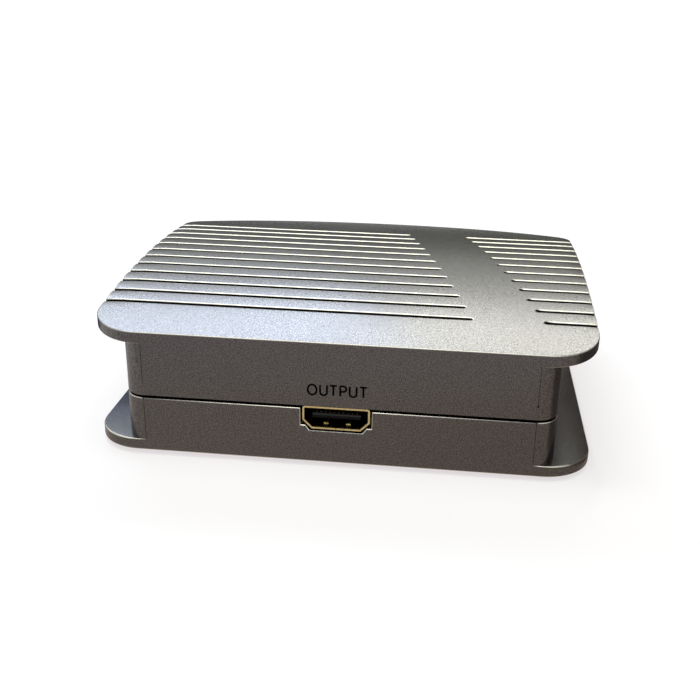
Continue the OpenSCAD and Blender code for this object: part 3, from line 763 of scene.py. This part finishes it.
def lettering(name, letters, place):
    """letters are (kind, left edge, width, height)."""
    bm = bmesh.new()
    for kind, x, w, h in letters:
        inset = STROKE / 2
        for points, closed in letter(kind, w - STROKE, h - STROKE):
            stroke(bm, [(x + inset + a, inset + b) for a, b in points], place, closed)
    bmesh.ops.recalc_face_normals(bm, faces=bm.faces)
    mesh = bpy.data.meshes.new(name)
    bm.to_mesh(mesh)
    bm.free()
    obj = bpy.data.objects.new(name, mesh)
    bpy.context.scene.collection.objects.link(obj)
    return obj


LABEL_Z = 17.45
LABEL_H = 2.82
LABEL_SHIFT = 0.27
# Letter, left edge and width
LABEL = [("O", -6.75, 2.4), ("U", -4.02, 1.95), ("T", -1.85, 1.95), ("P", 0.42, 1.75), ("U", 2.48, 1.95),
         ("T", 4.72, 1.95)]
NUMBER_X = 4.6
NUMBER_W = 1.3
NUMBER_H = 2.2


def make_labels():
    output = lettering("output_label", [(kind, x + LABEL_SHIFT, w, LABEL_H) for kind, x, w in LABEL],
                       lambda a, b, h: (a * MM, (NEAR_Y - h) * MM, (LABEL_Z + b) * MM))
    digits = [(str(i + 1), -x - NUMBER_X, NUMBER_W, NUMBER_H) for i, x in enumerate(INPUT_XS)]
    numbers = lettering("input_numbers", digits,
                        lambda a, b, h: (-a * MM, (INPUT_Y + h) * MM, (GUIDE_Z - NUMBER_H / 2 + b) * MM))
    return output, numbers


# Materials
# Values of a noise at which what it drives reaches its two ends
NOISE_LOW = 0.3
NOISE_HIGH = 0.7


def principled(name):
    """A new material with its node tree, its shader and its coordinates."""
    material = bpy.data.materials.new(name)
    material.use_nodes = True
    tree = material.node_tree
    return material, tree, shader_of(tree), tree.nodes.new("ShaderNodeTexCoord")


def shader_of(tree):
    return next(n for n in tree.nodes if n.type == "BSDF_PRINCIPLED")


def parts_of(tree, vector):
    """The X, Y and Z of a vector, by name."""
    node = tree.nodes.new("ShaderNodeSeparateXYZ")
    tree.links.new(vector, node.inputs["Vector"])
    return node.outputs


def noise(tree, place, size, detail=2, roughness=0.5):
    """A noise whose features are about size millimetres across."""
    node = tree.nodes.new("ShaderNodeTexNoise")
    node.inputs["Scale"].default_value = 1 / (size * MM)
    node.inputs["Detail"].default_value = detail
    node.inputs["Roughness"].default_value = roughness
    tree.links.new(place.outputs["Object"], node.inputs["Vector"])
    return node.outputs["Fac"]


def ramp(tree, factor, stops):
    """A colour that runs through stops of (position, colour)."""
    node = tree.nodes.new("ShaderNodeValToRGB")
    elements = node.color_ramp.elements
    for position, _ in stops[1:-1]:
        elements.new(position)
    for element, (position, colour) in zip(elements, stops):
        element.position = position
        element.color = (*colour, 1)
    tree.links.new(factor, node.inputs["Fac"])
    return node.outputs["Color"]


def attribute(tree, name):
    node = tree.nodes.new("ShaderNodeAttribute")
    node.attribute_name = name
    return node.outputs["Fac"]


def mix(tree, factor, under, colour):
    """A colour laid over another one by a factor."""
    node = tree.nodes.new("ShaderNodeMix")
    node.data_type = "RGBA"
    tree.links.new(factor, node.inputs["Factor"])
    tree.links.new(under, node.inputs["A"])
    node.inputs["B"].default_value = (*colour, 1)
    return node.outputs["Result"]


def spread(tree, value, low, high, start=0, end=1):
    """Runs from start to end as a value goes from low to high, and stays level beyond."""
    node = tree.nodes.new("ShaderNodeMapRange")
    node.inputs["From Min"].default_value = low
    node.inputs["From Max"].default_value = high
    node.inputs["To Min"].default_value = start
    node.inputs["To Max"].default_value = end
    tree.links.new(value, node.inputs["Value"])
    return node.outputs["Result"]


def bump(tree, height, distance):
    node = tree.nodes.new("ShaderNodeBump")
    node.inputs["Strength"].default_value = 1
    node.inputs["Distance"].default_value = distance * MM
    tree.links.new(height, node.inputs["Height"])
    return node.outputs["Normal"]


def feed(tree, node, values):
    """Sets a node's inputs in turn, each from a socket or a fixed value."""
    for socket, value in zip(node.inputs, values):
        if isinstance(value, bpy.types.NodeSocket):
            tree.links.new(value, socket)
        else:
            socket.default_value = value


def calculate(tree, operation, *values):
    node = tree.nodes.new("ShaderNodeMath")
    node.operation = operation
    feed(tree, node, values)
    return node.outputs[0]


def combine(tree, operation, *values):
    node = tree.nodes.new("ShaderNodeVectorMath")
    node.operation = operation
    feed(tree, node, values)
    return node.outputs["Vector"]


def away_from(tree, value, middle):
    """How far a value is from a fixed one."""
    return calculate(tree, "ABSOLUTE", calculate(tree, "SUBTRACT", value, middle))


def surface(name, dark, light, rough, metallic=0, size=0.6, fine=0.2, relief=0.004, sockets=None):
    """A finish whose colour and roughness vary with one noise, with a finer noise as relief."""
    material, tree, shader, place = principled(name)
    mottle = noise(tree, place, size, 3)
    colour = ramp(tree, mottle, [(NOISE_LOW, dark), (NOISE_HIGH, light)])
    tree.links.new(colour, shader.inputs["Base Color"])
    tree.links.new(spread(tree, mottle, NOISE_LOW, NOISE_HIGH, *rough), shader.inputs["Roughness"])
    tree.links.new(bump(tree, noise(tree, place, fine), relief), shader.inputs["Normal"])
    shader.inputs["Metallic"].default_value = metallic
    for key, value in (sockets or {}).items():
        shader.inputs[key].default_value = value
    return material


def overlay(material, factor, colour):
    """Lays a colour over a finish by a factor."""
    tree = material.node_tree
    socket = shader_of(tree).inputs["Base Color"]
    tree.links.new(mix(tree, factor, socket.links[0].from_socket, colour), socket)


# Springs inside each socket's shell: distance from its middle, width, and distance behind its mouth
SPRING_X = 2.5
SPRING_W = 1.1
SPRING_INSET = 2.1
# The shell's walls get dark between these distances behind the mouth
DARK_START = 0.3
DARK_FULL = 0.7
# Height above a socket's middle of the painted highlight on its tongue, and the half width of that highlight,
# inside and out
HIGHLIGHT_Z = 0.5
HIGHLIGHT_FULL = 0.05
HIGHLIGHT_END = 0.3
SHELL_DARK = (0.05, 0.035, 0.015)
TONGUE_HIGHLIGHT = (0.06, 0.062, 0.066)


def darken_shells(material):
    """The shells' side walls, a little way behind the mouth, are in deep shade but for the springs."""
    tree = material.node_tree
    place = tree.nodes.new("ShaderNodeTexCoord")
    point = parts_of(tree, place.outputs["Object"])
    facing = parts_of(tree, place.outputs["Normal"])
    near_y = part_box("output_shell")[0][1]
    far_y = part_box("input_shell_1")[1][1]
    half = (far_y - near_y) / 2
    from_middle = away_from(tree, point["Y"], near_y + half)
    behind = spread(tree, from_middle, half - DARK_START * MM, half - DARK_FULL * MM)
    # The front and back faces stay bright
    wall = spread(tree, calculate(tree, "ABSOLUTE", facing["Y"]), 0.8, 0.4)
    # Folds the four sockets onto each other
    aside = calculate(tree, "PINGPONG", calculate(tree, "ABSOLUTE", point["X"]), INPUT_XS[-1] * MM / 2)
    beside = calculate(tree, "GREATER_THAN", away_from(tree, aside, SPRING_X * MM), SPRING_W * MM / 2)
    ahead = calculate(tree, "GREATER_THAN", from_middle, half - SPRING_INSET * MM)
    bare = calculate(tree, "MAXIMUM", beside, ahead)
    shade = calculate(tree, "MULTIPLY", calculate(tree, "MULTIPLY", behind, wall), bare)
    overlay(material, shade, SHELL_DARK)


def paint_tongue_highlights(material):
    """The ends of the sockets' tongues get a painted highlight along their upper part."""
    tree = material.node_tree
    place = tree.nodes.new("ShaderNodeTexCoord")
    height = away_from(tree, parts_of(tree, place.outputs["Object"])["Z"], (PORT_Z + HIGHLIGHT_Z) * MM)
    overlay(material, spread(tree, height, HIGHLIGHT_END * MM, HIGHLIGHT_FULL * MM), TONGUE_HIGHLIGHT)


PAINT_DARK = (0.07, 0.068, 0.066)
PAINT_LIGHT = (0.21, 0.206, 0.198)
# Colour of the painted highlight on rounded rims and edges
PAINT_HIGHLIGHT = (0.565, 0.555, 0.475)
# Colour of the painted shade in the grooves, the seam and the mould lines
PAINT_SHADE = (0.012, 0.012, 0.012)
PAINT_ROUGH = (0.262, 0.28)
PAINT_METAL = 0.94
# Sizes of the paint's grain, of its dull and bright patches, and of its orange peel and that one's height
GRAIN_SIZE = 0.26
CLOUD_SIZE = 25
PEEL_SIZE = 1.6
PEEL_HEIGHT = 0.0008
# Size of the flakes, and how far they lean
FLAKE_SIZE = 0.25
FLAKE_TILT = 0.014


def case_paint():
    """Metallic grey paint: flakes that each lean their own way, in a mottled ground with a slight peel."""
    material, tree, shader, place = principled("case_paint")
    grain = noise(tree, place, GRAIN_SIZE, 1, 0.6)
    ground = ramp(tree, grain, [(NOISE_LOW, PAINT_DARK), (NOISE_HIGH, PAINT_LIGHT)])
    # The rim attribute lays a painted highlight along rounded rims and edges
    highlighted = mix(tree, attribute(tree, "rim"), ground, PAINT_HIGHLIGHT)
    # The deep attribute lays painted shade in the grooves, the seam and the mould lines
    tree.links.new(mix(tree, attribute(tree, "deep"), highlighted, PAINT_SHADE), shader.inputs["Base Color"])
    cloud = noise(tree, place, CLOUD_SIZE, 1)
    tree.links.new(spread(tree, cloud, NOISE_LOW, NOISE_HIGH, *PAINT_ROUGH), shader.inputs["Roughness"])
    flakes = tree.nodes.new("ShaderNodeTexVoronoi")
    flakes.inputs["Scale"].default_value = 1 / (FLAKE_SIZE * MM)
    tree.links.new(place.outputs["Object"], flakes.inputs["Vector"])
    lean = combine(tree, "SUBTRACT", flakes.outputs["Color"], (0.5, 0.5, 0.5))
    lean = combine(tree, "MULTIPLY", lean, (FLAKE_TILT, FLAKE_TILT, FLAKE_TILT))
    peel = bump(tree, noise(tree, place, PEEL_SIZE, 0), PEEL_HEIGHT)
    tree.links.new(combine(tree, "NORMALIZE", combine(tree, "ADD", peel, lean)), shader.inputs["Normal"])
    shader.inputs["Metallic"].default_value = PAINT_METAL
    return material


# Finish of each material slot: dark and light colour, roughness, and what differs from the usual
FINISHES = {
    "foot_rubber": ((0.012, 0.012, 0.012), (0.022, 0.022, 0.022), (0.75, 0.9),
                    {"size": 1.2, "fine": 0.3, "relief": 0.02}),
    "screw_steel": ((0.45, 0.45, 0.46), (0.6, 0.6, 0.6), (0.25, 0.4), {"metallic": 1}),
    "board_laminate": ((0.008, 0.05, 0.02), (0.012, 0.075, 0.03), (0.3, 0.4),
                       {"size": 2.5, "fine": 0.4, "relief": 0.01}),
    "shell_gold": ((0.66, 0.56, 0.25), (0.84, 0.74, 0.40), (0.22, 0.34),
                   {"metallic": 1, "size": 0.8, "fine": 0.3}),
    "black_insulator": ((0.003, 0.003, 0.004), (0.007, 0.007, 0.009), (0.35, 0.5),
                        {"size": 0.7, "sockets": {"Specular IOR Level": 0.12}}),
    # contact_gold is darker than gold: painted shade, for contacts that sit in shade inside the shells
    "contact_gold": ((0.42, 0.26, 0.08), (0.52, 0.34, 0.13), (0.2, 0.3), {"metallic": 1}),
    "black_moulding": ((0.018, 0.018, 0.019), (0.03, 0.03, 0.031), (0.45, 0.6),
                       {"size": 0.9, "relief": 0.008}),
    "tinned_leads": ((0.55, 0.55, 0.56), (0.7, 0.7, 0.7), (0.25, 0.4), {"metallic": 1}),
    "button_plastic": ((0.016, 0.016, 0.018), (0.026, 0.026, 0.028), (0.4, 0.5),
                       {"size": 0.8, "fine": 0.25, "relief": 0.006}),
    "plunger_plastic": ((0.10, 0.045, 0.02), (0.14, 0.06, 0.03), (0.4, 0.5), {}),
    "clear_guide": ((0.80, 0.84, 0.85), (0.9, 0.92, 0.92), (0.15, 0.25),
                    {"size": 1.5, "fine": 0.5, "relief": 0.003, "sockets": {"Transmission Weight": 0.35}}),
    "led_resin": ((0.5, 0.7, 0.5), (0.6, 0.8, 0.6), (0.2, 0.3), {}),
    "dark_window": ((0.02, 0.004, 0.008), (0.03, 0.006, 0.012), (0.06, 0.12),
                    {"size": 2, "fine": 0.8, "relief": 0.001}),
    "can_aluminium": ((0.6, 0.6, 0.61), (0.75, 0.75, 0.76), (0.3, 0.42), {"metallic": 1}),
    "ferrite": ((0.03, 0.03, 0.032), (0.05, 0.05, 0.052), (0.6, 0.75), {"size": 0.5, "relief": 0.02}),
    "fuse_resin": ((0.05, 0.08, 0.03), (0.07, 0.11, 0.045), (0.4, 0.5), {}),
    "label_ink": ((0.002, 0.002, 0.002), (0.004, 0.004, 0.004), (0.7, 0.85),
                  {"size": 0.4, "fine": 0.15, "relief": 0.003, "sockets": {"Specular IOR Level": 0}}),
    "number_ink": ((0.6, 0.6, 0.58), (0.7, 0.7, 0.68), (0.55, 0.7),
                   {"size": 0.4, "fine": 0.15, "relief": 0.003}),
}
made = {name: surface(name, *values, **others) for name, (*values, others) in FINISHES.items()}
made["case_paint"] = case_paint()
darken_shells(made["shell_gold"])
paint_tongue_highlights(made["black_insulator"])


def dress(obj, material):
    obj.data.materials.clear()
    obj.data.materials.append(material)


# How far the edges of some CAD nodes are rounded
NODE_EDGES = {"output_shell": 0.14, "input_shell_1": 0.08, "input_shell_2": 0.08, "input_shell_3": 0.08,
              "supply_socket_body": 0.2, "rubber_feet": 0.35, "receiver_window": 0.1, "light_guides": 0.12,
              "output_insulator": 0.3, "input_insulator_1": 0.3, "input_insulator_2": 0.3,
              "input_insulator_3": 0.3, "select_button": 0.12}


def dress_nodes():
    """Gives each CAD node the finish of its slot in the record, and some of them rounded edges."""
    slots = {part["node"]: part["material_slot"] for part in frame["record"]["subparts"]}
    for name, obj in frame["nodes"].items():
        dress(obj, made[slots[name]])
        if name in NODE_EDGES:
            modifier = obj.modifiers.new("edges", "BEVEL")
            modifier.width = NODE_EDGES[name] * MM
            modifier.segments = 3
            modifier.limit_method = "ANGLE"
            modifier.angle_limit = math.radians(40)
            modifier.harden_normals = False


top_shell = make_top()
base_shell = make_base()
for shell, node in ((top_shell, "top_cover"), (base_shell, "bottom_cover")):
    mark_edges(shell)
    weigh_normals(shell)
    dress(shell, made["case_paint"])
    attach(shell, "case")
    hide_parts(node)
for label, ink in zip(make_labels(), ("label_ink", "number_ink")):
    dress(label, made[ink])
    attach(label, "case")
dress_nodes()


# Floor, background and light
def background_share(tree):
    """1 for rays that show the background: from the camera, off gloss and through clear things."""
    path = tree.nodes.new("ShaderNodeLightPath").outputs
    seen = calculate(tree, "MAXIMUM", path["Is Camera Ray"], path["Is Glossy Ray"])
    return calculate(tree, "MAXIMUM", seen, path["Is Transmission Ray"])


def glowing(name):
    """A new material that only glows, with its node tree, its glow and the socket that shows it."""
    material = bpy.data.materials.new(name)
    material.use_nodes = True
    tree = material.node_tree
    tree.nodes.clear()
    glow = tree.nodes.new("ShaderNodeEmission")
    out = tree.nodes.new("ShaderNodeOutputMaterial")
    tree.links.new(glow.outputs[0], out.inputs["Surface"])
    return material, tree, glow, out.inputs["Surface"]


FLOOR_LIT = (0.29, 0.325, 0.315)
FLOOR_OWN = (0.70, 0.66, 0.67)
# Distances in metres between which the floor's own white grows, and half the floor's width
FLOOR_NEAR = 0.12
FLOOR_FAR = 0.6
FLOOR_HALF = 12000


def make_floor():
    """A pale floor whose own white share grows with distance, so that it stays white out to the horizon."""
    material, tree, glow, shown = glowing("floor")
    place = tree.nodes.new("ShaderNodeTexCoord")
    length = tree.nodes.new("ShaderNodeVectorMath")
    length.operation = "LENGTH"
    tree.links.new(place.outputs["Object"], length.inputs[0])
    reach = spread(tree, length.outputs["Value"], FLOOR_NEAR, FLOOR_FAR)
    tree.links.new(ramp(tree, reach, [(0, FLOOR_OWN), (1, (1, 1, 1))]), glow.inputs["Color"])
    tree.links.new(background_share(tree), glow.inputs["Strength"])
    diffuse = tree.nodes.new("ShaderNodeBsdfDiffuse")
    diffuse.inputs["Color"].default_value = (*FLOOR_LIT, 1)
    add = tree.nodes.new("ShaderNodeAddShader")
    tree.links.new(diffuse.outputs[0], add.inputs[0])
    tree.links.new(glow.outputs[0], add.inputs[1])
    tree.links.new(add.outputs[0], shown)
    half = FLOOR_HALF
    floor = mesh_object("floor", [(-half, -half, 0), (half, -half, 0), (half, half, 0), (-half, half, 0)],
                        [(0, 1, 2, 3)])
    dress(floor, material)


def upright(x0, x1, y, top):
    """Corners of a card that stands across the depth."""
    return [(x0, y, 0), (x1, y, 0), (x1, y, top), (x0, y, top)]


def flat(y0, y1):
    """Corners of a card that lies just above the floor."""
    half = 500
    lift = 0.5
    return [(-half, y0, lift), (half, y0, lift), (half, y1, lift), (-half, y1, lift)]


# Cards that show only in the object's gloss: corners and colour. A colour that changes is three colours, the
# axis along which they follow each other, and where on it the first and the last one lie, in metres.
CARDS = {
    "far_flag": (upright(-900, 900, 540, 280),
                 [(0.02, 0.02, 0.01), (0.04, 0.04, 0.02), (0.98, 1.0, 0.91)], "Z", 0, 0.27),
    "near_flag": (flat(-700, -90), [(0.58, 0.52, 0.54), (0.60, 0.53, 0.52), (0.56, 0.50, 0.48)],
                  "X", -0.08, 0.08),
    "low_flag": (flat(-90, 300), [(1, 1, 1), (0.60, 0.52, 0.48), (0.49, 0.39, 0.34)], "X", -0.17, 0.06),
    "right_flag": (upright(57.5, 300, 40, 46), (0.10, 0.08, 0.08)),
    "left_flag": (upright(-400, -57.5, 40, 34), (0.055, 0.085, 0.205)),
    "left_wall": (upright(-400, -60, -5, 27), (0.035, 0.06, 0.14)),
    "side_flag": ([(58.5, -52, 0), (58.5, 42, 0), (58.5, 42, 32), (58.5, -52, 30)], (0.12, 0.10, 0.09)),
    "right_wall": (upright(66, 500, 100, 74), (0.10, 0.08, 0.08)),
}
# The one card that also keeps lamp light off what lies behind it
SHADING_CARD = "side_flag"


def make_card(name, corners, colour, axis=None, low=0, high=1):
    material, tree, glow, _ = glowing(name)
    if axis:
        place = tree.nodes.new("ShaderNodeTexCoord")
        reach = spread(tree, parts_of(tree, place.outputs["Object"])[axis], low, high)
        tree.links.new(ramp(tree, reach, list(zip((0, 0.5, 1), colour))), glow.inputs["Color"])
    else:
        glow.inputs["Color"].default_value = (*colour, 1)
    card = mesh_object(name, corners, [(0, 1, 2, 3)])
    dress(card, material)
    card.visible_camera = False
    card.visible_diffuse = False
    card.visible_shadow = name == SHADING_CARD


# Lamps: place, size, radiance and colour
LAMPS = {
    "key_left": ((-235, 480, 505), (430, 220), 6.6, (0.70, 0.80, 1.0)),
    "key_right": ((160, 500, 505), (420, 220), 4.7, (1.0, 1.0, 0.93)),
    "front": ((-40, -430, 560), (560, 260), 1.8, (1.0, 0.98, 0.95)),
    "overhead": ((-60, -80, 660), (560, 420), 4.2, (1.0, 0.98, 0.94)),
}
LAMP_AIM = (0, 0, 20)


def make_lamp(name, place, size, radiance, colour):
    """A soft lamp at a place in millimetres, with its radiance given."""
    lamp = bpy.data.lights.new(name, "AREA")
    lamp.shape = "RECTANGLE"
    lamp.size = size[0] * MM
    lamp.size_y = size[1] * MM
    lamp.energy = radiance * math.pi * lamp.size * lamp.size_y
    lamp.color = colour
    obj = bpy.data.objects.new(name, lamp)
    bpy.context.scene.collection.objects.link(obj)
    obj.location = Vector(place) * MM
    away = (Vector(LAMP_AIM) - Vector(place)).normalized()
    obj.rotation_euler = away.to_track_quat("-Z", "Y").to_euler()


def make_world():
    """White where it is seen, and dim as a light."""
    world = bpy.data.worlds.new("world")
    world.use_nodes = True
    tree = world.node_tree
    tree.nodes.clear()
    dim = tree.nodes.new("ShaderNodeBackground")
    dim.inputs["Color"].default_value = (0.95, 0.98, 1.0, 1)
    dim.inputs["Strength"].default_value = 0.2
    white = tree.nodes.new("ShaderNodeBackground")
    white.inputs["Color"].default_value = (1, 1, 1, 1)
    white.inputs["Strength"].default_value = 1
    choice = tree.nodes.new("ShaderNodeMixShader")
    tree.links.new(background_share(tree), choice.inputs[0])
    tree.links.new(dim.outputs[0], choice.inputs[1])
    tree.links.new(white.outputs[0], choice.inputs[2])
    out = tree.nodes.new("ShaderNodeOutputWorld")
    tree.links.new(choice.outputs[0], out.inputs["Surface"])
    bpy.context.scene.world = world


# The camera fitted to the photograph: angles in degrees, place and lens in millimetres
CAMERA_AZIMUTH = 6.417
CAMERA_ELEVATION = 21.977
CAMERA_ROLL = 0.917
CAMERA_PLACE = (24.41, -242.53, 106.36)
CAMERA_LENS = 49.981


def make_camera():
    azimuth, elevation, roll = (math.radians(a) for a in (CAMERA_AZIMUTH, CAMERA_ELEVATION, CAMERA_ROLL))
    back = Vector((math.sin(azimuth) * math.cos(elevation), -math.cos(azimuth) * math.cos(elevation),
                   math.sin(elevation)))
    right = Vector((0, 0, 1)).cross(back).normalized()
    up = back.cross(right)
    rolled_right = right * math.cos(roll) + up * math.sin(roll)
    rolled_up = up * math.cos(roll) - right * math.sin(roll)
    data = bpy.data.cameras.new("camera")
    data.sensor_width = 36
    data.lens = CAMERA_LENS
    camera = bpy.data.objects.new("camera", data)
    bpy.context.scene.collection.objects.link(camera)
    matrix = Matrix((rolled_right, rolled_up, back)).transposed().to_4x4()
    matrix.translation = Vector(CAMERA_PLACE) * MM
    camera.matrix_world = matrix
    bpy.context.scene.camera = camera


make_floor()
for name, values in CARDS.items():
    make_card(name, *values)
for name, values in LAMPS.items():
    make_lamp(name, *values)
make_world()
make_camera()
bpy.context.scene.view_settings.view_transform = "Standard"
